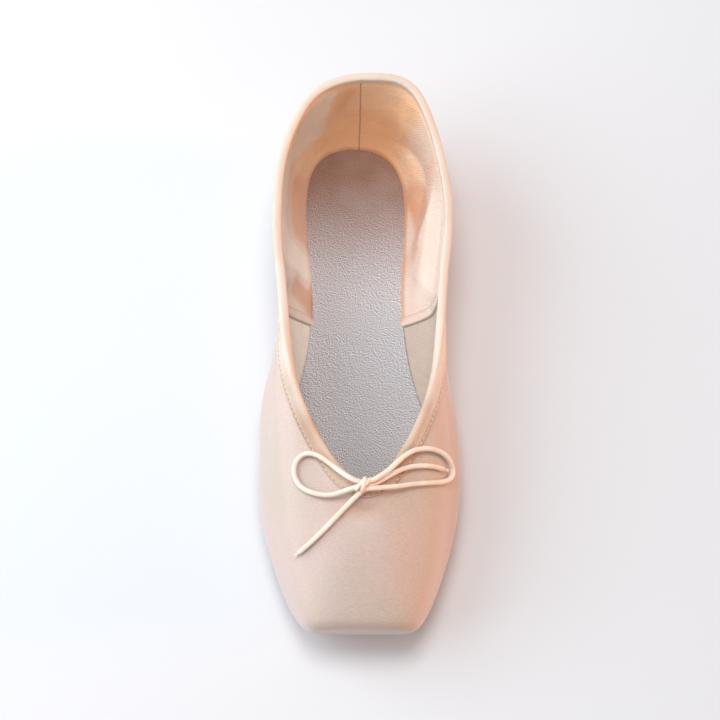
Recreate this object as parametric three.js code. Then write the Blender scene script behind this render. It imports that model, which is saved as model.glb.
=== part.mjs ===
// Satin pointe shoe made on a straight last, standing empty on its sole.
// Millimetres, +Z up, the toe points along -Y and the floor is z = 0.
import * as THREE from 'three';

// ---- Driving sizes ---------------------------------------------------------
const LENGTH = 230; // of the last, toe platform to the back of the heel
const MIDDLE = 0.504; // share of that length in front of the origin; the rest and the binding lie behind
const BALL_WIDTH = 84.5; // over the wings, at the widest
const HEEL_HEIGHT = 57; // floor to the collar at the back of the heel
const TOE_SPRING = 2.6; // rise of the sole at its front end
const ARCH_RISE = 3.6; // rise of the sole between ball and heel
const SHOULDER_ROUND = 0.58; // how far the shoulder's curve reaches down the side
const VAMP_CROWN = 2.2; // rise of the vamp between shoulder and throat
const OVER_COLUMNS = ['share', 'rise']; // of the way from shoulder to collar edge, of the crown
const OVER = [[0.34, 0.8], [0.56, 1], [0.78, 0.6]];
const PLATFORM_LEAN = 6; // degrees that the flat toe end is undercut
const PLATFORM_EDGE = { low: 0.3, high: 1.1 }; // softening of its edge, at the sole and at the top
const PLATFORM_TOP = 30; // height where the flat toe end reaches furthest forward

const OUTSOLE_THICK = 2.5;
const INSOLE_THICK = 2;
const GAP = 0.3; // between pieces that meet
const WALL = { quarter: 1.6, wing: 2.4, box: 3.4 };
const LASTING_MARGIN = 7; // upper turned in under the insole

const BINDING = { thick: 0.9, outside: 8, inside: 3.2 };
const CORD = 1.9; // diameter of the drawstring

// ---- The last: one row for each rib, toe centre to heel centre -------------
// x columns are percent of half the ball width, y of the length, z of the heel height.
// sole = edge of the flat bottom, side = fullest part of the wall,
// shoulder = where the wall turns over, top = the collar edge.
const RIB_COLUMNS = ['soleX', 'soleY', 'sideX', 'sideY', 'sideZ',
  'shoulderX', 'shoulderY', 'shoulderZ', 'topX', 'topY', 'topZ'];
const RIBS = [
  [0, 7.5, 0, 0.3, 26.5, 0, -1.6, 54, 0, 24, 83], // toe centre
  [17, 8, 29, 0.3, 26.5, 26, -1.6, 53.5, 9.5, 24.5, 83],
  [31.5, 9, 51, 0.5, 26.5, 44.5, -0.8, 52, 19.5, 26, 82.5], // corner of the platform
  [42, 11.5, 65, 3.5, 26.5, 57, 2.5, 51.5, 27.5, 27.5, 82],
  [50.5, 15, 75.5, 8, 27, 63.5, 7.5, 55, 35.5, 30, 81.5],
  [58, 19.5, 88, 14.5, 29, 71, 14.5, 60, 44, 32.5, 81],
  [61.5, 25, 97.5, 21.5, 31.5, 78, 22.5, 64, 52.5, 36, 80],
  [60, 32.5, 102, 30.5, 33.5, 83.5, 32, 66, 62, 40.5, 78.5], // ball
  [53, 41.5, 98, 40.5, 35, 84.5, 41, 64, 71, 46.5, 77],
  [41, 51, 83.5, 50.5, 37, 83, 51, 59.5, 77, 53.5, 76], // waist
  [36, 61, 75.5, 61.5, 38.5, 79.5, 61.5, 59.5, 81, 63, 77.5],
  [41, 71, 77, 72, 40.5, 84, 72.5, 65, 86, 73.5, 84.5],
  [47, 80, 78.5, 81.5, 40.5, 84.5, 82.5, 68.5, 85, 82.5, 91],
  [49, 88.5, 72, 91.5, 40.5, 74, 92, 70, 72.5, 92, 96],
  [33.5, 94.5, 48, 98.5, 40.5, 46, 99.3, 72, 43, 99.2, 100],
  [0, 96, 0, 100.5, 40.5, 0, 101, 72, 0, 100.7, 101.5], // heel centre
];

// ---- Small helpers ---------------------------------------------------------
const vec = (x, y, z) => new THREE.Vector3(x, y, z);
const mix = (a, b, t) => a.clone().lerp(b, t);
const mixNumber = (a, b, t) => a + (b - a) * t;
const clamp01 = (t) => Math.min(1, Math.max(0, t));
const smooth = (a, b, t) => {
  const s = clamp01((t - a) / (b - a));
  return s * s * (3 - 2 * s);
};
const range = (count) => Array.from({ length: count }, (_, i) => i);

// Height of the sole's underside: flat at ball and heel, sprung at the toe, arched between.
function underside(y) {
  const share = y / LENGTH + MIDDLE;
  const toe = clamp01((0.2 - share) / 0.2);
  const arch = clamp01((share - 0.4) / 0.39);
  return TOE_SPRING * toe * toe + ARCH_RISE * Math.sin(Math.PI * arch) ** 2;
}

// ---- Control points of one rib, from under the insole up to the collar ------
const BOTTOM = OUTSOLE_THICK + GAP; // the upper's underside above the sole's

function ribPoints(row) {
  const r = Object.fromEntries(RIB_COLUMNS.map((name, i) => [name, row[i] / 100]));
  const point = (x, y, z) => vec(x * BALL_WIDTH / 2, (y - MIDDLE) * LENGTH, z * HEEL_HEIGHT);
  const laid = (p, rise = 0) => vec(p.x, p.y, BOTTOM + rise);
  const sole = point(r.soleX, r.soleY, 0);
  const side = point(r.sideX, r.sideY, r.sideZ);
  const shoulder = point(r.shoulderX, r.shoulderY, r.shoulderZ);
  const top = point(r.topX, r.topY, r.topZ);
  const foot = vec(side.x, side.y, 0);
  const inward = sole.clone().sub(foot).setLength(LASTING_MARGIN);
  const slope = smooth(0.28, 0.5, r.soleY); // full box in front, slanting quarters behind
  const crown = VAMP_CROWN * (1 - smooth(0.34, 0.56, r.topY));
  const over = OVER.map((row) => {
    const at = Object.fromEntries(OVER_COLUMNS.map((name, i) => [name, row[i]]));
    return mix(shoulder, top, at.share).add(vec(0, 0, crown * at.rise));
  });
  return [
    laid(sole.clone().add(inward)),
    laid(sole),
    laid(mix(sole, foot, mixNumber(0.62, 0.15, slope))),
    laid(mix(sole, foot, mixNumber(0.93, 0.55, slope)), (side.z - BOTTOM) * 0.34),
    side,
    mix(shoulder, side, SHOULDER_ROUND),
    shoulder,
    ...over,
    top,
  ];
}

// Closed ring of ribs: up the right side, round the heel and back down the left.
function buildNet() {
  const right = RIBS.map(ribPoints);
  const left = right.slice(1, -1).reverse();
  const mirrored = left.map((rib) => rib.map((p) => vec(-p.x, p.y, p.z)));
  const ring = [...right, ...mirrored];
  return ring.map((rib) => {
    const last = rib.length - 1;
    const before = rib[0].clone().multiplyScalar(2).sub(rib[1]);
    const after = rib[last].clone().multiplyScalar(2).sub(rib[last - 1]);
    return [before, ...rib, after];
  });
}

const NET = buildNet();
const V_MARGIN = 0; // free edge under the insole
const V_FEATHER = 2; // where the wall starts to rise
const V_RIM = NET[0].length - 3; // the collar edge

function weights(t) {
  return [
    (1 - t) ** 3 / 6,
    (3 * t ** 3 - 6 * t ** 2 + 4) / 6,
    (-3 * t ** 3 + 3 * t ** 2 + 3 * t + 1) / 6,
    t ** 3 / 6,
  ];
}

// Outer face of the upper: u counts ribs round the shoe, v counts control points up a rib.
function last(u, v) {
  const ribs = NET.length;
  const iu = Math.floor(u);
  const iv = Math.min(V_RIM - 1, Math.max(0, Math.floor(v)));
  const wu = weights(u - iu);
  const wv = weights(v - iv);
  const p = vec(0, 0, 0);
  for (let a = 0; a < 4; a += 1) {
    const rib = NET[(iu - 1 + a + ribs) % ribs];
    for (let b = 0; b < 4; b += 1) p.addScaledVector(rib[iv + b], wu[a] * wv[b]);
  }
  p.z += underside(p.y) * (1 - smooth(0, 22, p.z - BOTTOM));
  p.y = cutFlat(p.y, p.z);
  return p;
}

// The toe end is cut flat, square to the shoe but for its lean, with a softened edge.
function cutFlat(y, z) {
  const face = -LENGTH * MIDDLE + (PLATFORM_TOP - z) * Math.tan(THREE.MathUtils.degToRad(PLATFORM_LEAN));
  const soft = mixNumber(PLATFORM_EDGE.low, PLATFORM_EDGE.high, smooth(0.75, 1.05, z / PLATFORM_TOP));
  const past = (y - face) / soft;
  return past > 20 ? y : face + soft * Math.log1p(Math.exp(past));
}

function outward(u, v) {
  const d = 0.02;
  const along = last(u + d, v).sub(last(u - d, v));
  const up = last(u, Math.min(V_RIM, v + d)).sub(last(u, Math.max(0, v - d)));
  return along.cross(up).normalize();
}

function skin(u, v, offset) {
  return last(u, v).addScaledVector(outward(u, v), offset);
}

// Thick paste-stiffened box at the toe, lighter wings, soft quarters.
function wallThick(u, v) {
  const share = last(u, v).y / LENGTH + MIDDLE;
  const rise = smooth(V_FEATHER + 0.6, V_FEATHER + 2, v);
  const box = (WALL.box - WALL.wing) * (1 - smooth(0.02, 0.1, share));
  const wing = (WALL.wing - WALL.quarter) * (1 - smooth(0.25, 0.5, share));
  const rim = 1 - smooth(V_RIM - 2.5, V_RIM - 0.5, v);
  return WALL.quarter + (box + wing) * rise * rim;
}

// ---- Building solids from rings of points ----------------------------------
function meshFrom(points, faces) {
  const geometry = new THREE.BufferGeometry();
  const flat = points.flatMap((p) => [p.x, p.y, p.z]);
  geometry.setAttribute('position', new THREE.Float32BufferAttribute(flat, 3));
  geometry.setIndex(faces.flat());
  geometry.computeVertexNormals();
  return geometry;
}

// Quads between neighbouring profiles; both directions close on themselves.
// The quads of the two halves are split along mirrored diagonals, so the body is symmetric.
function loftClosed(profiles) {
  const rows = profiles.length;
  const cols = profiles[0].length;
  const faces = [];
  for (let i = 0; i < rows; i += 1) {
    for (let j = 0; j < cols; j += 1) {
      const a = i * cols + j;
      const b = ((i + 1) % rows) * cols + j;
      const c = ((i + 1) % rows) * cols + ((j + 1) % cols);
      const d = i * cols + ((j + 1) % cols);
      if (i < rows / 2) faces.push([a, b, d], [b, c, d]);
      else faces.push([a, b, c], [a, c, d]);
    }
  }
  return meshFrom(profiles.flat(), faces);
}

// A slab whose edge profiles run from bottom to top; the left and right halves are mirrored,
// so the first and last ring points are joined straight across the shoe.
function slab(profiles) {
  const rows = profiles.length;
  const cols = profiles[0].length;
  const faces = [];
  for (let i = 0; i < rows; i += 1) {
    for (let j = 0; j < cols - 1; j += 1) {
      const a = i * cols + j;
      const b = ((i + 1) % rows) * cols + j;
      faces.push([a, b, b + 1], [a, b + 1, a + 1]);
    }
  }
  const across = (row, col) => (row % rows) * cols + col;
  for (let i = 0; i < rows / 2; i += 1) {
    for (const [col, flip] of [[0, true], [cols - 1, false]]) {
      const [a, b] = [across(i, col), across(i + 1, col)];
      const [c, d] = [across(rows - i - 1, col), across(rows - i, col)];
      const quad = [[a, b, c], [a, c, d]];
      const real = quad.filter((t) => new Set(t).size === 3);
      real.forEach((t) => faces.push(flip ? [t[0], t[2], t[1]] : t));
    }
  }
  return meshFrom(profiles.flat(), faces);
}

function tube(points, diameter, steps, sides = 8) {
  const shape = new THREE.Shape();
  range(sides).forEach((i) => {
    const a = (i / sides) * Math.PI * 2;
    const [x, y] = [Math.cos(a) * diameter / 2, Math.sin(a) * diameter / 2];
    if (i === 0) shape.moveTo(x, y);
    else shape.lineTo(x, y);
  });
  shape.closePath();
  const path = new THREE.CatmullRomCurve3(points, false, 'centripetal');
  return new THREE.ExtrudeGeometry(shape, { steps, extrudePath: path, bevelEnabled: false });
}

// ---- Upper -----------------------------------------------------------------
const U_STEPS = 72;
const V_STEPS = 18;
const ringU = range(U_STEPS).map((i) => (i / U_STEPS) * NET.length);

function upper() {
  const vs = range(V_STEPS + 1).map((i) => V_MARGIN + (V_RIM - V_MARGIN) * i / V_STEPS);
  return loftClosed(ringU.map((u) => {
    const outside = vs.map((v) => last(u, v));
    const inside = vs.map((v) => skin(u, v, -wallThick(u, v)));
    return [...outside, ...inside.reverse()];
  }));
}

// ---- Insole: a sock on the inside face of the upper, flat on top ------------
function insole() {
  const clear = (u, v) => skin(u, v, -wallThick(u, v) - GAP);
  const topRise = BOTTOM + WALL.quarter + GAP + INSOLE_THICK;
  const edgeV = (u) => {
    let [low, high] = [V_FEATHER - 1, V_FEATHER + 3];
    range(24).forEach(() => {
      const v = (low + high) / 2;
      const p = clear(u, v);
      if (p.z - underside(p.y) < topRise) low = v;
      else high = v;
    });
    return low;
  };
  return slab(ringU.map((u) => {
    const end = edgeV(u);
    const edge = [0, 0.4, 0.7, 0.88, 1].map((t) => clear(u, end * t));
    const lip = edge.at(-1).clone();
    const inner = edge[0];
    const inset = vec(inner.x - lip.x, inner.y - lip.y, 0).setLength(1);
    lip.add(inset);
    lip.z = underside(lip.y) + topRise + 0.25;
    return [...edge, lip];
  }));
}

// ---- Outsole: narrow leather sole let in under the shoe ---------------------
function outsole() {
  return slab(ringU.map((u) => {
    const edge = last(u, 1);
    const face = (p, rise) => vec(p.x, p.y, underside(p.y) + rise);
    const inward = last(u, 0).sub(edge).setZ(0).setLength(0.7);
    const eased = edge.clone().add(inward);
    return [face(eased, 0), face(edge, 0.8), face(edge, OUTSOLE_THICK - 0.5), face(eased, OUTSOLE_THICK)];
  }));
}

// ---- Collar binding: the drawstring tape folded over the rim ----------------
function rimDistance(u, distance) {
  let v = V_RIM;
  let travelled = 0;
  let here = last(u, v);
  while (travelled < distance) {
    v -= 0.05;
    const next = last(u, v);
    travelled += next.distanceTo(here);
    here = next;
  }
  return v;
}

function collarBinding() {
  return loftClosed(ringU.map((u) => {
    const legs = (length, count) => range(count).map((i) => rimDistance(u, length * (1 - i / (count - 1))));
    const outer = legs(BINDING.outside, 4);
    const inner = legs(BINDING.inside, 3);
    const up = last(u, V_RIM).sub(last(u, V_RIM - 0.1)).normalize();
    const wall = (v) => wallThick(u, v);
    const cap = (offset, rise) => skin(u, V_RIM, offset).addScaledVector(up, rise);
    const far = GAP + BINDING.thick;
    const outsideFace = outer.map((v) => skin(u, v, far));
    const insideFace = inner.map((v) => skin(u, v, -wall(v) - far)).reverse();
    const outsideBack = outer.map((v) => skin(u, v, GAP)).reverse();
    const insideBack = inner.map((v) => skin(u, v, -wall(v) - GAP));
    const rim = wall(V_RIM);
    const over = [cap(far * 0.7, far * 0.75), cap(-rim / 2, far), cap(-rim - far * 0.7, far * 0.75)];
    const under = [cap(-rim - GAP, GAP), cap(GAP, GAP)];
    return [...outsideFace, ...over, ...insideFace, ...insideBack, ...under, ...outsideBack];
  }));
}

// ---- Bow: the drawstring's knot, loops and ends on the vamp -----------------
// Finds the outer face over a spot of the plan; x and y in shoe millimetres.
function onVamp(x, y, lift) {
  let best = { gap: Infinity };
  const consider = (u, v) => {
    const p = last((u + NET.length) % NET.length, v);
    const gap = Math.hypot(p.x - x, p.y - y);
    if (gap < best.gap) best = { u, v, gap };
  };
  const search = (u0, v0, reachU, reachV) => {
    for (let a = -6; a <= 6; a += 1) {
      for (let b = -6; b <= 6; b += 1) {
        consider(u0 + a * reachU / 6, Math.min(V_RIM, v0 + b * reachV / 6));
      }
    }
  };
  search(x >= 0 ? 5 : NET.length - 5, V_RIM - 2.5, 7, 2.5);
  range(7).forEach((i) => search(best.u, best.v, 1.2 / 2 ** i, 0.6 / 2 ** i));
  return skin((best.u + NET.length) % NET.length, best.v, lift);
}

const THROAT_Y = -61; // the bow's place, just in front of the throat
const BOW_COLUMNS = ['x', 'y', 'lift']; // y from THROAT_Y, lift above the vamp
const LOOP_LEFT = [
  [-3.9, 0.4, 5.2], [-10, 5, 3.8], [-16, 10.5, 2.8], [-22, 13.5, 2.4], [-26.5, 11, 2],
  [-27.5, 5.5, 1.8], [-25.5, 0, 1.8], [-20, -3.2, 2], [-14, -4.6, 2.8], [-9.4, -3.8, 3.9], [-3.9, -1.9, 4.9],
];
const LOOP_RIGHT = [
  [2.3, 0.5, 5.2], [9, 6.2, 5.2], [14, 11.2, 3.6], [19, 14.4, 3.4], [25.5, 15.6, 3.2], [31, 14.8, 2.4],
  [34.4, 12, 1.8], [35.3, 8, 1.8], [33, 4.4, 1.8], [27, 2.3, 1.8], [19, 1, 2.3], [12, -0.9, 3.8], [2.3, -2.2, 5],
];
const TAIL_LEFT = [
  [-2, -3.5, 3.1], [-6.4, -8, 2.2], [-11.2, -13, 1.6], [-16.8, -18.6, 1.6], [-21.4, -22.6, 1.6], [-25.2, -25.4, 1.6],
];
const TAIL_RIGHT = [
  [2.6, -1, 3], [9.6, 3.9, 2.7], [14.5, 6.6, 2.7], [20, 8.2, 2.5], [26.5, 8.8, 1.9], [31.3, 8.5, 1.6],
];

function bowCord(rows, steps) {
  const points = rows.map((row) => {
    const at = Object.fromEntries(BOW_COLUMNS.map((name, i) => [name, row[i]]));
    return onVamp(at.x, THROAT_Y + at.y, at.lift);
  });
  return tube(points, CORD, steps);
}

// A small tight knot: an egg with the turns of the cord raised slantwise across it.
function bowKnot() {
  const geometry = new THREE.SphereGeometry(1, 20, 12);
  const position = geometry.attributes.position;
  const seat = onVamp(-0.8, THROAT_Y - 0.7, 4.3);
  range(position.count).forEach((i) => {
    const p = vec(position.getX(i), position.getY(i), position.getZ(i));
    const turns = 1 + 0.07 * Math.cos(7 * p.x + 2.4 * p.z) * (1 - p.x * p.x);
    position.setXYZ(i, seat.x + p.x * 3.2, seat.y + p.y * 2.7 * turns, seat.z + p.z * 2.5 * turns);
  });
  geometry.computeVertexNormals();
  return geometry;
}

// ---- Assembly --------------------------------------------------------------
const group = new THREE.Group();
group.name = 'pointe_shoe';

function add(name, geometry, color, roughness) {
  const material = new THREE.MeshStandardMaterial({ color, roughness, metalness: 0 });
  const mesh = new THREE.Mesh(geometry, material);
  mesh.name = name;
  group.add(mesh);
}

add('upper', upper(), 0xe6c8b6, 0.42);
add('outsole', outsole(), 0xcbb092, 0.75);
add('insole', insole(), 0xa89a99, 0.92);
add('collar_binding', collarBinding(), 0xf0dcc6, 0.6);
add('bow_knot', bowKnot(), 0xf3e3d0, 0.6);
add('bow_loop_left', bowCord(LOOP_LEFT, 34), 0xf3e3d0, 0.6);
add('bow_loop_right', bowCord(LOOP_RIGHT, 40), 0xf3e3d0, 0.6);
add('bow_tail_left', bowCord(TAIL_LEFT, 14), 0xf3e3d0, 0.6);
add('bow_tail_right', bowCord(TAIL_RIGHT, 12), 0xf3e3d0, 0.6);

export default group;
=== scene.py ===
"""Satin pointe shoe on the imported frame. Lengths are millimetres until they become vertices, in metres."""
import math

import bpy
import numpy as np
from mathutils import Matrix, Vector


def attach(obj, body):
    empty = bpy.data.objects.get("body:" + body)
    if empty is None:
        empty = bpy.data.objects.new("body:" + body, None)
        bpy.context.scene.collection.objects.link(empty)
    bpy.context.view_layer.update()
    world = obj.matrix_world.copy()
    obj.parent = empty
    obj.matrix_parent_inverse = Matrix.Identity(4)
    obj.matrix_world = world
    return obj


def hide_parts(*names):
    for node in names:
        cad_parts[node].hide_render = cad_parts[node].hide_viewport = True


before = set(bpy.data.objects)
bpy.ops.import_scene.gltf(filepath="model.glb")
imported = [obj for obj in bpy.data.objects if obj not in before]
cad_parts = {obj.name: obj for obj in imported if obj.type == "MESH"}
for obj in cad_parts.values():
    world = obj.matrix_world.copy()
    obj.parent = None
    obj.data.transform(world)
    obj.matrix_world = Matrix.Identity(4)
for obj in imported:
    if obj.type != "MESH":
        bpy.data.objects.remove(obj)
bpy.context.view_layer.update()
MM = 0.001

# ---- Driving sizes, as the solids have them ------------------------------------------------------
LENGTH = 230
MIDDLE = 0.504
BALL_WIDTH = 84.5
HEEL_HEIGHT = 57
TOE_SPRING = 2.6
ARCH_RISE = 3.6
SPRING_END, ARCH_START, ARCH_SPAN = 0.2, 0.4, 0.39  # shares of the length
SHOULDER_ROUND = 0.58
VAMP_CROWN = 2.2
OVER = [(0.34, 0.8), (0.56, 1), (0.78, 0.6)]  # share of the way from shoulder to collar edge, share of the crown
PLATFORM_LEAN = 6
PLATFORM_EDGE_LOW, PLATFORM_EDGE_HIGH = 0.3, 1.1
PLATFORM_TOP = 30
OUTSOLE_THICK = 2.5
INSOLE_THICK = 2
GAP = 0.3
WALL_QUARTER, WALL_WING, WALL_BOX = 1.6, 2.4, 3.4
LASTING_MARGIN = 7
BINDING_OUTSIDE, BINDING_THROAT, BINDING_INSIDE = 8, 6.2, 3.2
CORD = 1.9

RIB_COLUMNS = [
    "soleX", "soleY", "sideX", "sideY", "sideZ", "shoulderX", "shoulderY", "shoulderZ", "topX", "topY", "topZ",
]
RIBS = [
    [0, 7.5, 0, 0.3, 26.5, 0, -1.6, 54, 0, 24, 83],  # toe centre
    [17, 8, 29, 0.3, 26.5, 26, -1.6, 53.5, 9.5, 24.5, 83],
    [31.5, 9, 51, 0.5, 26.5, 44.5, -0.8, 52, 19.5, 26, 82.5],  # corner of the platform
    [42, 11.5, 65, 3.5, 26.5, 57, 2.5, 51.5, 27.5, 27.5, 82],
    [50.5, 15, 75.5, 8, 27, 63.5, 7.5, 55, 35.5, 30, 81.5],
    [58, 19.5, 88, 14.5, 29, 71, 14.5, 60, 44, 32.5, 81],
    [61.5, 25, 97.5, 21.5, 31.5, 78, 22.5, 64, 52.5, 36, 80],
    [60, 32.5, 102, 30.5, 33.5, 83.5, 32, 66, 62, 40.5, 78.5],  # ball
    [53, 41.5, 98, 40.5, 35, 84.5, 41, 64, 71, 46.5, 77],
    [41, 51, 83.5, 50.5, 37, 83, 51, 59.5, 77, 53.5, 76],  # waist
    [36, 61, 75.5, 61.5, 38.5, 79.5, 61.5, 59.5, 81, 63, 77.5],
    [41, 71, 77, 72, 40.5, 84, 72.5, 65, 86, 73.5, 84.5],
    [47, 80, 78.5, 81.5, 40.5, 84.5, 82.5, 68.5, 85, 82.5, 91],
    [49, 88.5, 72, 91.5, 40.5, 74, 92, 70, 72.5, 92, 96],
    [33.5, 94.5, 48, 98.5, 40.5, 46, 99.3, 72, 43, 99.2, 100],
    [0, 96, 0, 100.5, 40.5, 0, 101, 72, 0, 100.7, 101.5],  # heel centre
]


# ---- Camera --------------------------------------------------------------------------------------
CAMERA = {"rise": 70.1, "lean": 4.2, "roll": -0.5, "target": (0, -1, 25), "distance": 804, "sensor": 36, "lens": 96.6}


def make_camera():
    """Over the toe, leaning a little to the left, as far off as a long lens stands."""
    rise, lean, roll = (math.radians(CAMERA[angle]) for angle in ("rise", "lean", "roll"))
    target, distance = Vector(CAMERA["target"]) * MM, CAMERA["distance"] * MM
    back = Vector((-math.sin(lean) * math.sin(rise), -math.cos(rise), math.cos(lean) * math.sin(rise))).normalized()
    up = (Vector((0, 1, 0)) - back * back.y).normalized()
    side = up.cross(back)
    turned_side = math.cos(roll) * side + math.sin(roll) * up
    turned_up = math.cos(roll) * up - math.sin(roll) * side
    data = bpy.data.cameras.new("camera")
    data.sensor_width, data.lens = CAMERA["sensor"], CAMERA["lens"]
    camera = bpy.data.objects.new("camera", data)
    axes = Matrix((turned_side, turned_up, back)).transposed()
    camera.matrix_world = Matrix.Translation(target + back * distance) @ axes.to_4x4()
    bpy.context.collection.objects.link(camera)
    bpy.context.scene.camera = camera


# ---- The last ------------------------------------------------------------------------------------
def smooth(a, b, t):
    s = np.clip((t - a) / (b - a), 0, 1)
    return s * s * (3 - 2 * s)


def mix(a, b, t):
    return a + (b - a) * t


def share_of_length(y):
    return y / LENGTH + MIDDLE


def underside(y):
    """Height of the sole's underside: flat at ball and heel, sprung at the toe, arched between."""
    share = share_of_length(y)
    toe = np.clip((SPRING_END - share) / SPRING_END, 0, 1)
    arch = np.clip((share - ARCH_START) / ARCH_SPAN, 0, 1)
    return TOE_SPRING * toe**2 + ARCH_RISE * np.sin(np.pi * arch) ** 2


BOTTOM = OUTSOLE_THICK + GAP


def rib_points(row):
    """Control points of one rib, from under the insole up to the collar."""
    r = dict(zip(RIB_COLUMNS, np.array(row) / 100))

    def point(name, z):
        return np.array([r[name + "X"] * BALL_WIDTH / 2, (r[name + "Y"] - MIDDLE) * LENGTH, z * HEEL_HEIGHT])

    def laid(p, rise=0.0):
        return np.array([p[0], p[1], BOTTOM + rise])

    sole, side = point("sole", 0), point("side", r["sideZ"])
    shoulder, top = point("shoulder", r["shoulderZ"]), point("top", r["topZ"])
    foot = side * [1, 1, 0]
    inward = (sole - foot) / np.linalg.norm(sole - foot) * LASTING_MARGIN
    slope = smooth(0.28, 0.5, r["soleY"])
    crown = np.array([0, 0, VAMP_CROWN * (1 - smooth(0.34, 0.56, r["topY"]))])
    return np.array([
        laid(sole + inward),
        laid(sole),
        laid(mix(sole, foot, mix(0.62, 0.15, slope))),
        laid(mix(sole, foot, mix(0.93, 0.55, slope)), (side[2] - BOTTOM) * 0.34),
        side,
        mix(shoulder, side, SHOULDER_ROUND),
        shoulder,
        *(mix(shoulder, top, share) + crown * rise for share, rise in OVER),
        top,
    ])


def build_net():
    """Closed ring of ribs: up the right side, round the heel and back down the left."""
    right = np.array([rib_points(row) for row in RIBS])
    ring = np.concatenate([right, right[-2:0:-1] * [-1, 1, 1]])
    before = 2 * ring[:, :1] - ring[:, 1:2]
    after = 2 * ring[:, -1:] - ring[:, -2:-1]
    return np.concatenate([before, ring, after], axis=1)


NET = build_net()
RING = len(NET)
HEEL_U = len(RIBS) - 1
V_FEATHER = 2
V_RIM = NET.shape[1] - 3


def weights(t):
    return np.stack([(1 - t) ** 3, 3 * t**3 - 6 * t**2 + 4, -3 * t**3 + 3 * t**2 + 3 * t + 1, t**3], -1) / 6


def last(u, v):
    """Outer face of the upper: u counts ribs round the shoe, v counts control points up a rib."""
    u, v = np.broadcast_arrays(np.asarray(u, float) % RING, np.clip(v, 0, V_RIM))
    iu = np.floor(u).astype(int)
    iv = np.clip(np.floor(v).astype(int), 0, V_RIM - 1)
    wu, wv = weights(u - iu), weights(v - iv)
    p = np.zeros(u.shape + (3,))
    for a in range(4):
        for b in range(4):
            p += (wu[..., a] * wv[..., b])[..., None] * NET[(iu - 1 + a) % RING, iv + b]
    p[..., 2] += underside(p[..., 1]) * (1 - smooth(0, 22, p[..., 2] - BOTTOM))
    p[..., 1] = cut_flat(p[..., 1], p[..., 2])
    return p


def cut_flat(y, z):
    """The toe end is cut flat, square to the shoe but for its lean, with a softened edge."""
    face = -LENGTH * MIDDLE + (PLATFORM_TOP - z) * math.tan(math.radians(PLATFORM_LEAN))
    soft = mix(PLATFORM_EDGE_LOW, PLATFORM_EDGE_HIGH, smooth(0.75, 1.05, z / PLATFORM_TOP))
    return face + soft * np.logaddexp(0, (y - face) / soft)


def outward(u, v):
    d = 0.02
    along = last(u + d, v) - last(u - d, v)
    up = last(u, np.minimum(V_RIM, v + d)) - last(u, np.maximum(0, v - d))
    n = np.cross(along, up)
    return n / np.linalg.norm(n, axis=-1, keepdims=True)


def wall_thick(u, v):
    share = share_of_length(last(u, v)[..., 1])
    rise = smooth(V_FEATHER + 0.6, V_FEATHER + 2, v)
    box = (WALL_BOX - WALL_WING) * (1 - smooth(0.02, 0.1, share))
    wing = (WALL_WING - WALL_QUARTER) * (1 - smooth(0.25, 0.5, share))
    rim = 1 - smooth(V_RIM - 2.5, V_RIM - 0.5, v)
    return WALL_QUARTER + (box + wing) * rise * rim


# ---- Distances over the cloth --------------------------------------------------------------------
FINE_U = np.linspace(0, RING, 481)
FINE_V = np.linspace(V_RIM, 0, 241)
ARC = np.concatenate([[0], np.cumsum(np.linalg.norm(np.diff(last(FINE_U, 5.0), axis=0), axis=1))])
HEEL_ARC = np.interp(HEEL_U, FINE_U, ARC)
GIRTH = ARC[-1]


def around(u):
    """Distance round the shoe from the back of the heel: plus on the right side, minus on the left."""
    return HEEL_ARC - np.interp(u, FINE_U, ARC)


def u_around(distance):
    return np.interp(HEEL_ARC - np.asarray(distance), ARC, FINE_U)


def below_rim(u):
    """For each u, the distance from the rim down the rib at each of FINE_V."""
    p = last(np.asarray(u)[:, None], FINE_V[None, :])
    steps = np.linalg.norm(np.diff(p, axis=1), axis=2)
    return np.concatenate([np.zeros((len(p), 1)), np.cumsum(steps, axis=1)], axis=1)


def v_below(u, distances):
    """v at each distance below the rim, one row for each u; distances are one row for all, or a row each."""
    table = below_rim(u)
    distances = np.broadcast_to(distances, (len(table), np.shape(distances)[-1]))
    return np.array([np.interp(d, t, FINE_V) for d, t in zip(distances, table)])


def distance_below(u, v):
    return np.array([np.interp(row, FINE_V[::-1], t[::-1]) for row, t in zip(v, below_rim(u))])


# ---- Folds of the cloth --------------------------------------------------------------------------
HEEL_SEAM = 0
LINING_SEAM, LINING_SEAM_LEAN = -1.0, 0.06  # the lining's heel seam at the rim, and sideways for each mm down
SIDE_SEAM = 112.8  # from the heel seam round to where the quarters meet the vamp
THROAT = GIRTH / 2

CREASE_COLUMNS = ["around", "below", "tilt", "long", "wide", "edge", "push"]
CREASES = [  # tilt from level in degrees, edge is how round the fold is, push is outward
    [-17, 26, 88, 46, 8, 0.9, -2.6],
    [-58, 35, -3, 54, 5, 2.0, 1.8],
    [-93, 31, 120, 32, 5.5, 0.9, -2.4],
    [-104, 27, 112, 26, 4.5, 1.6, 1.7],
    [24, 26, 95, 46, 8, 0.9, -2.6],
    [37, 36, 14, 28, 4.5, 1.4, 2.2],
    [55, 38, -29, 26, 4.5, 1.4, 2.0],
    [73, 31, -48, 48, 6.5, 0.8, -2.6],
    [97, 28, 49, 28, 5.5, 0.9, -2.1],
]
OUTSIDE_CREASES = [  # the satin's own: puckers beside the left wing, a dent on the right, a dip under the bow
    [-155, 13, 22, 40, 4.0, 2.0, 1.3],
    [-152, 19.5, 24, 34, 2.4, 0.5, -2.0],
    [-148, 27, 24, 36, 4.0, 1.5, 1.6],
    [168, 20, -35, 30, 4.0, 1.5, -0.8],
    [THROAT, 10, 0, 40, 5.0, 3.0, -0.8],
]
TONE_COLUMNS = ["around", "below", "tilt", "long", "wide", "painted_shade"]
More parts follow.
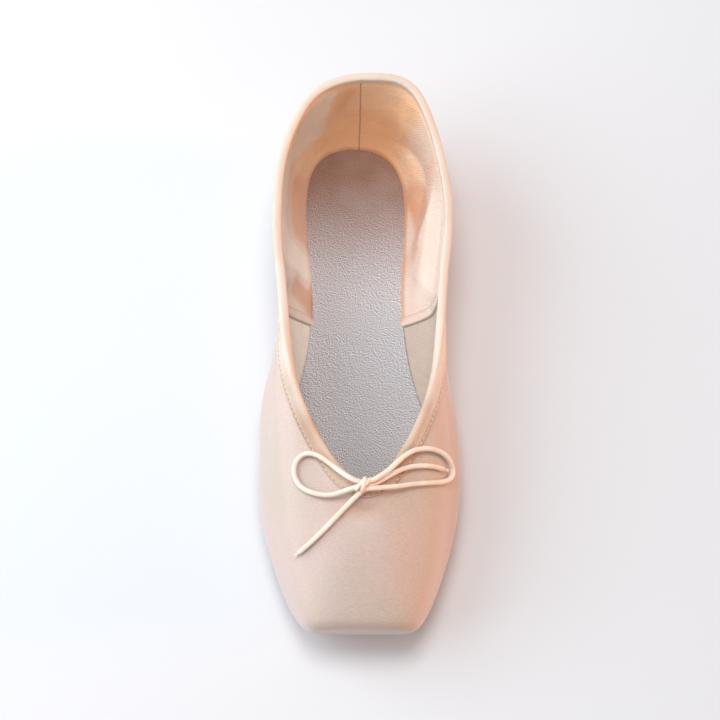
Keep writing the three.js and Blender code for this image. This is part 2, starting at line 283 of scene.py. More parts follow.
TONES = [  # patches of the lining: painted warm shade in the folds where the last column is plus, painted highlight on the facets that catch the light where it is minus
    [-9, 17, 70, 24, 5, 0.4],
    [-27, 26, 74, 60, 12, -0.55],
    [-50, 43, -4, 56, 7, 0.75],
    [-62, 16, -6, 56, 12, -0.5],
    [-84, 32, 88, 46, 9, -0.75],
    [-101, 36, 60, 22, 6, 0.6],
    [16, 34, 80, 30, 7, 0.25],
    [38, 22, 84, 56, 11, -0.42],
    [53, 40, 24, 34, 7, 0.75],
    [72, 34, -34, 34, 6, 0.42],
    [84, 20, -12, 48, 11, -0.7],
]
AT_INSOLE = {"painted_shade": 1.5, "from": 5.0, "to": 9.5}  # painted shade next to the insole, and the heights where it fades
SLACK_COLUMNS = ["around", "wide", "reach", "push"]
SLACK = [  # where the rim has gone out of its line
    [20, 12, 30, 2.8],
    [-15, 9, 24, -0.5],
    [-40, 12, 22, -0.6],
    [52, 14, 24, -0.7],
    [84, 15, 22, 0.7],
    [-92, 15, 22, 0.6],
]


def off_round(where, place):
    """Signed distance round the shoe, the short way."""
    return (where - place + GIRTH / 2) % GIRTH - GIRTH / 2


def turned(c, where, below):
    """Distances along and across a row that lies tilted on the cloth."""
    tilt = math.radians(c["tilt"])
    level, rise = off_round(where, c["around"]), c["below"] - below
    return (level * math.cos(tilt) + rise * math.sin(tilt), rise * math.cos(tilt) - level * math.sin(tilt))


def painted_fold_shade(where, below):
    tone = np.zeros(np.broadcast(where, below).shape)
    for row in TONES:
        c = dict(zip(TONE_COLUMNS, row))
        along, across = turned(c, where, below)
        tone += c["painted_shade"] * np.exp(-((2 * along / c["long"]) ** 4) - (across / c["wide"]) ** 4)
    return tone


def crease_push(rows, where, below):
    push = np.zeros(np.broadcast(where, below).shape)
    for row in rows:
        c = dict(zip(CREASE_COLUMNS, row))
        along, across = turned(c, where, below)
        here = np.exp(-((2 * along / c["long"]) ** 2))
        push += c["push"] * here * np.exp(-(np.hypot(across, c["edge"]) - c["edge"]) / c["wide"])
    return push


def slack_push(where, below):
    push = np.zeros(np.broadcast(where, below).shape)
    for row in SLACK:
        c = dict(zip(SLACK_COLUMNS, row))
        here = np.exp(-((off_round(where, c["around"]) / c["wide"]) ** 2))
        push += c["push"] * here * (1 - smooth(0, c["reach"], below))
    return push


def seam_groove(where, wide=0.5, deep=0.45):
    """The heel and side seams draw the cloth in."""
    lines = (HEEL_SEAM, SIDE_SEAM, -SIDE_SEAM)
    return sum(deep * np.exp(-((off_round(where, line) / wide) ** 2)) for line in lines)


# ---- The two faces of the cloth ------------------------------------------------------------------
SATIN_SHARE = 0.7  # how much of a fold of the lining shows on the satin
HELD, FREE = 8, 19  # heights over the sole where the cloth is held at the insole, and where it is free to fold
LINING_STEP = 0.8  # the heel lining lies over the front lining
HEM = 4.2  # its turned edge
HEM_RISE = 0.35
HEEL_RIDGE = 0.35  # the lining's heel seam stands in by this much
PUCKER, PUCKER_TURN = 0.14, 1.9  # the cloth beside that seam: height, and radians a millimetre


def free_of_sole(p):
    """Folds die out where the cloth is held at the insole."""
    return smooth(HELD, FREE, p[..., 2] - underside(p[..., 1]))


def outside(u, v, lift=0.0):
    """Points on the satin, or lifted off it, one row for each u."""
    where, below = around(u)[:, None], distance_below(u, v)
    p = last(u[:, None], v)
    push = SATIN_SHARE * crease_push(CREASES, where, below) * free_of_sole(p)
    push = push + crease_push(OUTSIDE_CREASES, where, below)
    push = push * smooth(BINDING_OUTSIDE - 3, BINDING_OUTSIDE + 3, below) + slack_push(where, below)
    push = push - seam_groove(where) * smooth(BINDING_OUTSIDE, BINDING_OUTSIDE + 1, below)
    return p + outward(u[:, None], v) * (push + lift)[..., None]


def inside(u, v, lift=0.0):
    """Points on the lining, or lifted off it into the shoe, one row for each u."""
    where, below = around(u)[:, None], distance_below(u, v)
    p = last(u[:, None], v)
    push = crease_push(CREASES, where, below) * free_of_sole(p)
    push = push * smooth(BINDING_INSIDE - 1, BINDING_INSIDE + 6, below)
    behind = SIDE_SEAM - np.abs(where)
    hem = smooth(-0.4, 0.4, behind) * (1 - smooth(HEM - 0.5, HEM + 0.5, behind))
    step = LINING_STEP * smooth(-0.6, 0.2, behind) + HEM_RISE * hem
    step = step * smooth(BINDING_INSIDE - 1, BINDING_INSIDE + 3, below)
    off_seam = where - LINING_SEAM - LINING_SEAM_LEAN * below
    pucker = PUCKER * np.sin(below * PUCKER_TURN) * np.exp(-np.abs(off_seam) / 2.5)
    heel = HEEL_RIDGE * np.exp(-((off_seam / 0.4) ** 2)) + pucker
    push = push + slack_push(where, below) - wall_thick(u[:, None], v) - step + heel
    return p + outward(u[:, None], v) * (push - lift)[..., None]


# ---- Mesh helpers --------------------------------------------------------------------------------
def new_piece(name, points, faces, material, replaces=(), corner_uv=None):
    mesh = bpy.data.meshes.new(name)
    mesh.from_pydata((np.asarray(points) * MM).tolist(), [], faces)
    mesh.shade_smooth()
    if corner_uv is not None:
        layer = mesh.uv_layers.new(name="cloth")
        layer.data.foreach_set("uv", corner_uv(mesh).astype(np.float32).ravel())
    mesh.materials.append(material)
    piece = bpy.data.objects.new(name, mesh)
    bpy.context.collection.objects.link(piece)
    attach(piece, "root")
    if replaces:
        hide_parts(*replaces)
    return piece


def corner_vertices(mesh):
    corner = np.zeros(len(mesh.loops), int)
    mesh.loops.foreach_get("vertex_index", corner)
    return corner


def grid_faces(rows, cols, close_rows=True, close_cols=False, flip=False):
    faces = []
    for i in range(rows if close_rows else rows - 1):
        k = (i + 1) % rows
        for j in range(cols if close_cols else cols - 1):
            m = (j + 1) % cols
            face = (i * cols + j, k * cols + j, k * cols + m, i * cols + m)
            faces.append(face[::-1] if flip else face)
    return faces


def ring_piece(name, points, across, u, material, replaces=(), flip=False):
    """A piece from rings of points, one row for each u round the shoe; across is each point's cloth y."""
    rows, cols = points.shape[:2]
    uv = np.stack([np.broadcast_to(around(u)[:, None], (rows, cols)), across], -1).reshape(-1, 2)

    def corner_uv(mesh):
        corner = corner_vertices(mesh)
        placed = uv[corner]
        # The last column of quads closes the ring, so there the first row's x runs on by one girth.
        closing = np.arange(len(corner)) >= len(corner) - 4 * (cols - 1)
        placed[closing & (corner < cols), 0] -= GIRTH
        return placed

    faces = grid_faces(rows, cols, flip=flip)
    return new_piece(name, points.reshape(-1, 3), faces, material, replaces, corner_uv)


def slab_faces(rows, cols):
    """Side quads, then the top and bottom joined straight across the shoe."""
    faces = grid_faces(rows, cols)
    for i in range(rows // 2):
        for col, flip in ((0, True), (cols - 1, False)):
            quad = [i, i + 1, rows - i - 1, (rows - i) % rows]
            corners = list(dict.fromkeys(k * cols + col for k in quad))
            if len(corners) > 2:
                faces.append(corners[::-1] if flip else corners)
    return faces


def even_rows(count):
    return np.arange(count) * RING / count


def rows_with_seams(count, reach=5.4, step=0.3):
    """Even rows round the shoe, with closer ones beside the heel and side seams."""
    rows = [even_rows(count)]
    for line in (HEEL_SEAM, SIDE_SEAM, -SIDE_SEAM):
        rows.append(u_around(line + np.arange(-reach, reach, step)))
    return np.unique(np.concatenate(rows).round(3))


def turned_frames(path, closed, pole):
    """For each point of a path, the side vector square to it and to the pole, and the one square to both."""
    along = np.roll(path, -1, axis=0) - np.roll(path, 1, axis=0) if closed else np.gradient(path, axis=0)
    along /= np.linalg.norm(along, axis=1, keepdims=True)
    side = np.cross(pole, along)
    side /= np.linalg.norm(side, axis=1, keepdims=True)
    return side, np.cross(along, side)


def cord_mesh(paths, diameters, closed=False, sides=14, flat=0.86, pole=(0, 0, 1)):
    """Points, faces and cloth coordinates of slightly flattened round cords along the paths."""
    points, faces, cloth = [], [], []
    turn = 2 * math.pi * np.arange(sides) / sides
    for path, diameter in zip(paths, diameters):
        path = np.asarray(path)
        side, up = turned_frames(path, closed, pole)
        radius = np.full(len(path), diameter / 2)
        if not closed:
            radius[[0, -1]] *= 0.7
        ring = (side[:, None] * np.cos(turn)[None, :, None] / flat**0.5
                + up[:, None] * np.sin(turn)[None, :, None] * flat**0.5)
        first, rows = sum(len(block) for block in points), len(path)
        points.append((path[:, None] + ring * radius[:, None, None]).reshape(-1, 3))
        length = np.concatenate([[0], np.cumsum(np.linalg.norm(np.diff(path, axis=0), axis=1))])
        cloth.append(np.stack(np.broadcast_arrays(length[:, None], turn[None] * diameter / 2), -1).reshape(-1, 2))
        sheet = grid_faces(rows, sides, close_rows=closed, close_cols=True, flip=True)
        if not closed:
            sheet += [tuple(range(sides)), tuple(range((rows - 1) * sides, rows * sides))[::-1]]
        faces += [tuple(k + first for k in face) for face in sheet]
    return np.concatenate(points), faces, np.concatenate(cloth)


def cord_piece(name, paths, diameters, material, slot, replaces=(), **shape):
    points, faces, cloth = cord_mesh(paths, diameters, **shape)
    return new_piece(name, points, faces, material, replaces, lambda mesh: cloth[corner_vertices(mesh)])


def stitch_row(name, line, material, slot, pitch=2.3, long=1.3, diameter=0.44):
    """Thread showing along a line, one short stitch every pitch, narrower at each end."""
    line = np.asarray(line)
    run = np.concatenate([[0], np.cumsum(np.linalg.norm(np.diff(line, axis=0), axis=1))])
    paths = []
    for start in np.arange(0.5, run[-1] - long, pitch):
        spots = start + long * np.array([0, 0.25, 0.5, 0.75, 1])
        paths.append(np.stack([np.interp(spots, run, line[:, k]) for k in range(3)], -1))
    return cord_piece(name, paths, [diameter] * len(paths), material, slot, sides=6)


# ---- Materials -----------------------------------------------------------------------------------
MIX_A, MIX_B, MIX_OUT = 6, 7, 2  # the colour sockets of a Mix node


def srgb(r, g, b):
    def linear(c):
        c /= 255
        return c / 12.92 if c <= 0.04045 else ((c + 0.055) / 1.055) ** 2.4

    return (linear(r), linear(g), linear(b), 1)


class Shader:
    """A Principled material and short calls to wire procedural detail into it."""

    def __init__(self, name, color, roughness):
        self.material = bpy.data.materials.new(name)
        self.material.use_nodes = True
        self.tree = self.material.node_tree
        self.base = self.tree.nodes["Principled BSDF"]
        self.set("Base Color", color)
        self.set("Roughness", roughness)

    def set(self, socket, value):
        self.base.inputs[socket].default_value = value

    def node(self, kind, inputs=None, **settings):
        node = self.tree.nodes.new(kind)
        for key, value in settings.items():
            setattr(node, key, value)
        for key, value in (inputs or {}).items():
            self.feed(node.inputs[key], value)
        return node

    def feed(self, socket, value):
        if isinstance(value, bpy.types.NodeSocket):
            self.tree.links.new(value, socket)
        else:
            socket.default_value = value

    def math(self, operation, a, b=0.0):
        return self.node("ShaderNodeMath", {0: a, 1: b}, operation=operation).outputs[0]

    def times(self, a, b):
        return self.math("MULTIPLY", a, b)

    def cloth(self):
        """Cloth coordinates in millimetres: x round the shoe or along a cord, y below the rim or round the cord."""
        return self.node("ShaderNodeUVMap", uv_map="cloth").outputs[0]

    def place(self, stretch=None):
        """Place in the shoe, in metres, or with each axis scaled."""
        where = self.node("ShaderNodeTexCoord").outputs["Object"]
        if stretch is None:
            return where
        return self.node("ShaderNodeMapping", {"Vector": where, "Scale": stretch}).outputs[0]

    def split(self, vector):
        return self.node("ShaderNodeSeparateXYZ", {0: vector}).outputs

    def noise(self, where, scale, detail=3.0):
        return self.node("ShaderNodeTexNoise", {"Vector": where, "Scale": scale, "Detail": detail}).outputs["Fac"]

    def ramp(self, value, low, high):
        """0 up to low, 1 from high on, eased between; low may be the greater."""
        inputs = {0: value, 1: low, 2: high}
        return self.node("ShaderNodeMapRange", inputs, interpolation_type="SMOOTHSTEP").outputs[0]

    def near(self, value, middle, reach):
        """1 at the middle, 0 past reach."""
        off = self.math("ABSOLUTE", self.math("SUBTRACT", value, middle))
        return self.ramp(off, reach, 0.0)

    def wave(self, cloth_axes, x, y):
        """A sine of the cloth coordinates with that many radians a millimetre each way."""
        slant = self.math("ADD", self.times(cloth_axes[0], x), self.times(cloth_axes[1], y))
        return self.math("SINE", slant)

    def blend(self, factor, a, b):
        mixed = self.node("ShaderNodeMix", data_type="RGBA")
        self.feed(mixed.inputs[0], factor)
        self.feed(mixed.inputs[MIX_A], a)
        self.feed(mixed.inputs[MIX_B], b)
        return mixed.outputs[MIX_OUT]

    def over(self, tone, factor, amount, color):
        """The tone with that much of a colour laid over it where the factor is 1."""
        return self.blend(self.times(factor, amount), tone, color)

    def color(self, value):
        self.feed(self.base.inputs["Base Color"], value)

    def bump(self, height, strength, depth_mm):
        bump = self.node("ShaderNodeBump", {"Strength": strength, "Distance": depth_mm * MM, "Height": height})
        if self.base.inputs["Normal"].is_linked:
            self.feed(bump.inputs["Normal"], self.base.inputs["Normal"].links[0].from_socket)
        self.feed(self.base.inputs["Normal"], bump.outputs[0])


# Where shade is painted on the satin, in metres: from and to along an axis, or for the painted shade under the knot
# the middle and the reach.
TOE_END_SHADE = {"y": (-0.1110, -0.1150), "z": (0.016, 0.005)}
RIGHT_FLANK_SHADE = {"x": (0.030, 0.041), "y": (0.0, -0.02)}
KNOT_SHADE = {"x": (-0.002, 0.015), "y": (-0.0712, 0.0055)}  # painted shade under the knot


def satin_material():
    """Peach satin: long floats of thread with a white gloss, faintly uneven over the stiffened box; painted shade at
    the toe end, on the right flank and under the knot.
    """
    s = Shader("satin", srgb(206, 180, 164), 0.40)
    patch = s.ramp(s.noise(s.place(), 22.0, 3.0), 0.35, 0.68)
    threads = s.noise(s.place((500.0, 2600.0, 2600.0)), 1.0, 3.0)
    slubs = s.noise(s.place((60.0, 900.0, 900.0)), 1.0, 2.0)
    tone = s.blend(patch, srgb(198, 171, 160), srgb(189, 170, 152))
    tone = s.over(tone, s.ramp(threads, 0.3, 0.75), 0.22, srgb(240, 222, 212))
    x, y, z = s.split(s.place())
    # painted shade over the toe end, darkest low down where the toe meets the floor
    toe, low = s.ramp(y, *TOE_END_SHADE["y"]), s.ramp(z, *TOE_END_SHADE["z"])
    tone = s.over(tone, toe, 0.3, srgb(150, 112, 98))
    tone = s.over(tone, s.times(toe, low), 0.8, srgb(104, 78, 66))
    # painted warm shade along the right flank
    flank_shade = s.times(s.ramp(x, *RIGHT_FLANK_SHADE["x"]), s.ramp(y, *RIGHT_FLANK_SHADE["y"]))
    tone = s.over(tone, flank_shade, 0.4, srgb(168, 126, 100))
    # painted shade on the satin under the knot
    gathers = s.times(s.near(x, *KNOT_SHADE["x"]), s.near(y, *KNOT_SHADE["y"]))
    tone = s.over(tone, gathers, 0.55, srgb(186, 132, 102))
    s.color(s.over(tone, s.ramp(slubs, 0.55, 0.8), 0.16, srgb(200, 160, 138)))
    s.set("IOR", 1.5)
    s.set("Specular IOR Level", 0.6)
    s.set("Anisotropic", 0.5)
    s.set("Sheen Weight", 0.3)
    s.set("Sheen Roughness", 0.6)
    s.set("Sheen Tint", srgb(245, 248, 255))
    s.bump(threads, 0.25, 0.08)
    s.bump(slubs, 0.2, 0.1)
    s.bump(s.noise(s.place(), 120.0, 3.0), 0.25, 0.25)
    return s.material


LINING_WEAVE = (5.2, 3.0)  # radians a millimetre round and down the cloth, as wave takes them
TAPE_RIB = (5.6, 4.6)
TAPE_CHANNEL, TAPE_TOP = 1.7, 8.0  # from the tape's outside edge over to its stitches and to where it turns over


def lining_material():
    """Cotton sateen at heel and sides, warmest at the heel; greyer canvas in front of the side seams, with painted
    light on its left and painted shade on its right; painted shade and highlight on the folds, from the mesh.
    """
    s = Shader("lining", srgb(224, 192, 168), 0.62)
    cloth = s.cloth()
    axes = s.split(cloth)
    away = s.math("ABSOLUTE", axes[0])
    tone = s.blend(s.ramp(away, 15.0, 75.0), srgb(255, 202, 152), srgb(238, 213, 197))
    # the front canvas paler on the left and darker on the right: painted light and shade
    canvas = s.blend(s.ramp(axes[0], -60.0, 60.0), srgb(246, 232, 217), srgb(206, 188, 173))
    tone = s.blend(s.ramp(away, SIDE_SEAM - 0.4, SIDE_SEAM + 0.4), tone, canvas)
    # painted shade, warm and deepest where the attribute is highest, and painted highlight where it is below zero
    painted_shade = s.node("ShaderNodeAttribute", attribute_name="painted_shade").outputs["Fac"]
    tone = s.over(tone, s.ramp(painted_shade, 0.05, 0.7), 0.75, srgb(216, 146, 98))
    tone = s.over(tone, s.ramp(painted_shade, 0.8, 1.6), 0.8, srgb(168, 100, 60))
    tone = s.over(tone, s.ramp(painted_shade, -0.08, -0.62), 0.85, srgb(255, 238, 222))
    mottle = s.ramp(s.noise(s.place(), 38.0, 3.0), 0.4, 0.65)
    tone = s.over(tone, mottle, 0.2, srgb(240, 218, 200))
    specks = s.ramp(s.noise(cloth, 1.1, 2.0), 0.68, 0.78)
    tone = s.over(tone, specks, 0.25, srgb(186, 132, 92))
    heel_seam = s.math("ADD", s.times(axes[1], LINING_SEAM_LEAN), LINING_SEAM)
    off_seam = s.math("SUBTRACT", axes[0], heel_seam)
    tone = s.over(tone, s.near(off_seam, 0.0, 0.5), 0.65, srgb(112, 66, 40))
    # painted shadow line where the heel lining steps over the front lining at the side seam
    tone = s.over(tone, s.near(away, SIDE_SEAM + 0.3, 0.6), 0.6, srgb(150, 116, 98))
    tone = s.over(tone, s.near(away, SIDE_SEAM - HEM + 0.2, 0.4), 0.35, srgb(160, 124, 104))
    s.color(tone)
    s.set("Specular IOR Level", 0.6)
    s.set("Sheen Weight", 0.25)
    s.bump(s.wave(axes, *LINING_WEAVE), 0.35, 0.16)
    s.bump(s.noise(cloth, 1.8, 2.0), 0.3, 0.2)
    s.bump(s.noise(cloth, 0.14, 2.0), 0.5, 1.6)
    return s.material


def binding_material():
    """Narrow twill tape, darker towards the throat, with painted light on its right outer face and painted shade over
    the rim and in the stitched channel.
    """
    s = Shader("binding", srgb(244, 232, 222), 0.75)
    axes = s.split(s.cloth())
    mottle = s.ramp(s.noise(s.place(), 45.0), 0.35, 0.65)
    x, y, _ = s.split(s.place())
    back = s.blend(mottle, srgb(236, 225, 214), srgb(228, 210, 194))
    # painted shade where the tape turns over the rim and down the inside
    back = s.over(back, s.ramp(axes[1], TAPE_TOP - 1.5, TAPE_TOP), 0.5, srgb(216, 196, 178))
    # painted light on the right outer face
    right_face_light = s.times(s.ramp(x, 0.015, 0.03), s.ramp(axes[1], TAPE_TOP, TAPE_TOP - 2))
    back = s.over(back, right_face_light, 0.8, srgb(255, 250, 244))
    front = s.blend(mottle, srgb(214, 188, 166), srgb(198, 164, 138))
    tone = s.blend(s.ramp(y, 0.0, -0.045), back, front)
    rib = s.times(s.wave(axes, *TAPE_RIB), s.ramp(axes[1], 8.5, 5.0))
    tone = s.over(tone, s.ramp(rib, 0.3, -0.9), 0.7, srgb(196, 160, 134))
    # painted shade in the stitched channel
    s.color(s.over(tone, s.near(axes[1], TAPE_CHANNEL, 0.5), 0.6, srgb(176, 132, 104)))
    s.set("Sheen Weight", 0.1)
    s.bump(rib, 0.5, 0.25)
    s.bump(s.noise(s.cloth(), 3.0, 2.0), 0.3, 0.12)
    s.bump(s.noise(s.cloth(), 0.4, 2.0), 0.4, 0.6)
    return s.material


def cord_material():
    """Soft braided drawstring."""
    s = Shader("cord", srgb(246, 228, 212), 0.6)
    axes = s.split(s.cloth())
    braid = s.times(s.wave(axes, 4.2, 3.4), s.wave(axes, 4.2, -3.4))
    tone = s.blend(s.ramp(s.noise(s.place(), 160.0), 0.35, 0.65), srgb(248, 232, 218), srgb(240, 217, 198))
    s.color(s.over(tone, s.ramp(braid, -0.1, -0.9), 0.45, srgb(212, 176, 150)))
    s.set("Sheen Weight", 0.3)
    s.bump(braid, 0.5, 0.15)
    return s.material


def thread_material():
    s = Shader("thread", srgb(250, 236, 224), 0.5)
    s.color(s.blend(s.noise(s.place(), 900.0), srgb(240, 224, 208), srgb(218, 192, 168)))
    s.bump(s.noise(s.place(), 3000.0, 2.0), 0.3, 0.1)
    return s.material


NAP_SCALE = 1900.0
NAP_LEAN = (0.0002, 0.0003, 0.0)  # metres from a tuft to its shaded side


def suede_material():
    """Grey-lilac suede: a fine raised nap with painted light and shade on its tufts, and painted shade towards the
    heel, where it is browner.
    """
    s = Shader("suede", srgb(176, 164, 166), 0.9)
    heel = s.ramp(s.split(s.place())[1], 0.030, 0.100)
    grain = s.noise(s.place(), NAP_SCALE, 1.0)
    beside = s.node("ShaderNodeVectorMath", {0: s.place(), 1: NAP_LEAN}, operation="ADD").outputs[0]
    # the nap's tufts with painted light on one side and painted shade on the other
    nap_light = s.ramp(s.math("SUBTRACT", grain, s.noise(beside, NAP_SCALE, 1.0)), 0.2, -0.2)
    grey = s.blend(nap_light, srgb(152, 144, 149), srgb(230, 230, 232))
    # painted shade towards the heel, a browner copy of the nap
    heel_shade_nap = s.blend(nap_light, srgb(130, 94, 76), srgb(150, 115, 97))
    cloudy = s.ramp(s.noise(s.place(), 60.0, 2.0), 0.35, 0.7)
    s.color(s.over(s.blend(heel, grey, heel_shade_nap), cloudy, 0.15, srgb(194, 184, 184)))
    s.set("Sheen Weight", 0.15)
    s.bump(grain, 0.8, 0.4)
    return s.material


def leather_material():
    s = Shader("sole_leather", srgb(204, 176, 146), 0.7)
    s.color(s.blend(s.ramp(s.noise(s.place(), 40.0), 0.3, 0.7), srgb(208, 180, 150), srgb(190, 158, 126)))
    s.bump(s.noise(s.place(), 500.0, 3.0), 0.4, 0.3)
    return s.material


def floor_material():
    s = Shader("floor", srgb(225, 226, 228), 0.9)
    s.bump(s.noise(s.place(), 30.0), 0.02, 0.2)
    return s.material


# ---- Upper and lining ----------------------------------------------------------------------------
SATIN_ROWS, SATIN_COLS = 480, 116
LINING_ROWS, LINING_COLS = 420, 101
PLEAT_PITCH, PLEAT_DEEP = 5.5, 0.45


def pleats(u, v):
    """Satin gathered under the toe, where it is pulled over the edge to the sole."""
    near = smooth(0.6, 1.2, v) * (1 - smooth(2.0, 3.2, v))
    toe = 1 - smooth(0.16, 0.3, share_of_length(last(u[:, None], v)[..., 1]))
    gathers = np.abs(np.sin(around(u) * math.pi / PLEAT_PITCH))[:, None]
    return -PLEAT_DEEP * near * toe * gathers


def upper_skin(material):
    """The satin from the feathered edge under the insole up to the rim."""
    u = rows_with_seams(SATIN_ROWS)
    v = np.broadcast_to(np.linspace(0, V_RIM, SATIN_COLS), (len(u), SATIN_COLS))
    points = outside(u, v, pleats(u, v))
    return ring_piece("upper_satin", points, distance_below(u, v), u, material, ["upper"])


def lining_skin(material):
    """The lining, with its painted light and shade as an attribute: patches of painted shade in the folds and painted
    highlight on the facets, and painted shade along the insole behind the side seams.
    """
    u = rows_with_seams(LINING_ROWS)
    v = np.broadcast_to(np.linspace(0, V_RIM, LINING_COLS), (len(u), LINING_COLS))
    where, below = around(u)[:, None], distance_below(u, v)
    points = inside(u, v)
    piece = ring_piece("upper_lining", points, below, u, material, ["upper"], flip=True)
    height = points[..., 2] - underside(points[..., 1])
    edge = AT_INSOLE["painted_shade"] * (1 - smooth(AT_INSOLE["from"], AT_INSOLE["to"], height))
    tone = painted_fold_shade(where, below) + edge * smooth(0, 4, SIDE_SEAM - np.abs(where))
    attribute = piece.data.attributes.new("painted_shade", "FLOAT", "POINT")
    attribute.data.foreach_set("value", tone.astype(np.float32).ravel())
    return piece


# ---- Collar binding ------------------------------------------------------------------------------
TAPE_OUTSIDE = [  # distance below the rim and height off the satin, with a stitched channel near the edge
    [8.1, 0.05], [8.1, 0.5], [7.8, 0.74], [7.4, 0.8], [7.1, 0.6], [6.9, 0.36], [6.7, 0.6], [6.3, 0.82],
    [5.4, 0.75], [4.4, 0.7], [3.6, 0.75], [2.9, 0.9], [2.2, 1.05], [1.5, 1.1], [0.8, 1.05], [0.3, 0.95],
]
TAPE_INSIDE = [[0.3, 0.9], [0.9, 0.9], [1.6, 0.8], [2.3, 0.65], [2.9, 0.6], [3.1, 0.45], [3.2, 0.05]]
TAPE_STITCH = 6.9
FOLD_RADIUS = 0.9
FOLD_TURN = [20, 50, 80, 110, 140, 165]  # degrees round the drawstring from the outside face
TAPE_ROWS, SOLE_ROWS = 480, 240


def tape_width(u):
    """Share of its full width: the tape is drawn in at the throat."""
    ribs_off = np.minimum(u, RING - u)
    return mix(1, BINDING_THROAT / BINDING_OUTSIDE, np.exp(-((ribs_off / 3) ** 2)))


def collar_binding(material):
    """The tape from its outside edge, up over the drawstring at the rim and down the inside."""
    u = even_rows(TAPE_ROWS)
    below, raised = np.array(TAPE_OUTSIDE).T
    out_face = outside(u, v_below(u, below * tape_width(u)[:, None]), raised)
    below, raised = np.array(TAPE_INSIDE).T
    in_face = inside(u, v_below(u, below), raised)
    rim = np.full((len(u), 1), float(V_RIM))
    edge, away = outside(u, rim), outward(u[:, None], rim)
    up = last(u[:, None], rim) - last(u[:, None], rim - 0.1)
    up /= np.linalg.norm(up, axis=2, keepdims=True)
    turn = np.radians(FOLD_TURN)
    reach = (WALL_QUARTER / 2 + FOLD_RADIUS) * np.cos(turn) - WALL_QUARTER / 2
    over = edge + away * reach[None, :, None] + up * (FOLD_RADIUS * np.sin(turn))[None, :, None]
    points = np.concatenate([out_face, over, in_face], axis=1)
    steps = np.linalg.norm(np.diff(points, axis=1), axis=2)
    across = np.concatenate([np.zeros((len(u), 1)), np.cumsum(steps, axis=1)], axis=1)
    return ring_piece("collar_tape", points, across, u, material, ["collar_binding"])


# ---- Insole and outsole --------------------------------------------------------------------------
def insole(material):
    """A sock on the inside face of the upper, flat on top with a softly turned edge."""
    u = even_rows(SOLE_ROWS)
    top = BOTTOM + WALL_QUARTER + GAP + INSOLE_THICK

    def clear(v):
        return last(u[:, None], v) - outward(u[:, None], v) * (wall_thick(u[:, None], v) + GAP)[..., None]

    v = np.linspace(0, V_FEATHER + 3, 160)
    p = clear(np.broadcast_to(v, (len(u), len(v))))
    end = v[np.argmax(p[..., 2] - underside(p[..., 1]) > top, axis=1)]
    edge = clear(end[:, None] * np.array([0, 0.4, 0.7, 0.88, 1]))
    inset = (edge[:, :1] - edge[:, -1:]) * [1, 1, 0]
    inset /= np.linalg.norm(inset, axis=2, keepdims=True)
    distance = np.array([0.5, 1.1, 2.2])
    lip = edge[:, -1:] + inset * distance[None, :, None]
    lip[..., 2] = underside(lip[..., 1]) + top + np.array([0.16, 0.24, 0.25])
    points = np.concatenate([edge, lip], axis=1)
    faces = slab_faces(*points.shape[:2])
    return new_piece("insole_sock", points.reshape(-1, 3), faces, material, ["insole"])


SOLE_EDGE = [  # inset and rise, from the underside up to the upper
    (1.6, 0.0), (0.7, 0.05), (0.25, 0.35), (0, 0.8), (0, 2.0), (0.2, 2.35), (0.7, OUTSOLE_THICK),
]


def outsole(material):
    """Leather sole that follows the last's underside."""
    u = even_rows(SOLE_ROWS)
    edge, inner = last(u, 1.0), last(u, 0.0)
    inward = (inner - edge) * [1, 1, 0]
    inward /= np.linalg.norm(inward, axis=1, keepdims=True)
    rings = []
    for inset, rise in SOLE_EDGE:
        p = edge + inward * inset
        p[:, 2] = underside(p[:, 1]) + rise
        rings.append(p)
    points = np.stack(rings, axis=1)
    faces = slab_faces(*points.shape[:2])
    return new_piece("outsole_leather", points.reshape(-1, 3), faces, material, ["outsole"])


# ---- Stitches ------------------------------------------------------------------------------------
def closed_line(points):
    line = points[:, 0]
    return np.concatenate([line, line[:1]])


def seam_line(face, where, lift):
    """Down the wall from under the tape to the sole, at one place round the shoe."""
    u = np.full(60, float(u_around(where)))
    v = v_below(u, np.linspace(BINDING_OUTSIDE, 44, 60)[:, None])
    return face(u, v, lift)[:, 0]


def stitches(material):
    u = even_rows(720)
    tape = outside(u, v_below(u, TAPE_STITCH * tape_width(u)[:, None]), 0.45)
    stitch_row("tape_stitches", closed_line(tape), material, "binding")
    for side, name in ((1, "right"), (-1, "left")):
        hem = seam_line(inside, side * (SIDE_SEAM - HEM + 0.7), 0.1)
        stitch_row(f"hem_stitches_{name}", hem, material, "lining", pitch=1.9, long=1.2, diameter=0.34)


# ---- Bow -----------------------------------------------------------------------------------------
THROAT_Y = -61
LOOP_LEFT = [  # x, y from THROAT_Y, lift above the vamp
    [-3.9, 0.4, 5.2], [-10, 5, 3.8], [-16, 10.5, 2.8], [-22, 13.5, 2.4], [-26.5, 11, 2],
    [-27.5, 5.5, 1.8], [-25.5, 0, 1.8], [-20, -3.2, 2], [-14, -4.6, 2.8], [-9.4, -3.8, 3.9], [-3.9, -1.9, 4.9],
]
LOOP_RIGHT = [
    [2.3, 0.5, 5.2], [9, 6.2, 5.2], [14, 11.2, 3.6], [19, 14.4, 3.4], [25.5, 15.6, 3.2], [31, 14.8, 2.4],
    [34.4, 12, 1.8], [35.3, 8, 1.8], [33, 4.4, 1.8], [27, 2.3, 1.8], [19, 1, 2.3], [12, -0.9, 3.8], [2.3, -2.2, 5],
]
TAIL_LEFT = [
    [-2, -3.5, 3.1], [-6.4, -8, 2.2], [-11.2, -13, 1.6],
    [-16.8, -18.6, 1.6], [-21.4, -22.6, 1.6], [-25.2, -25.4, 1.6],
]
TAIL_RIGHT = [
    [2.6, -1, 3], [9.6, 3.9, 2.7], [14.5, 6.6, 2.7], [20, 8.2, 2.5], [26.5, 8.8, 1.9], [31.3, 8.5, 1.6],
]
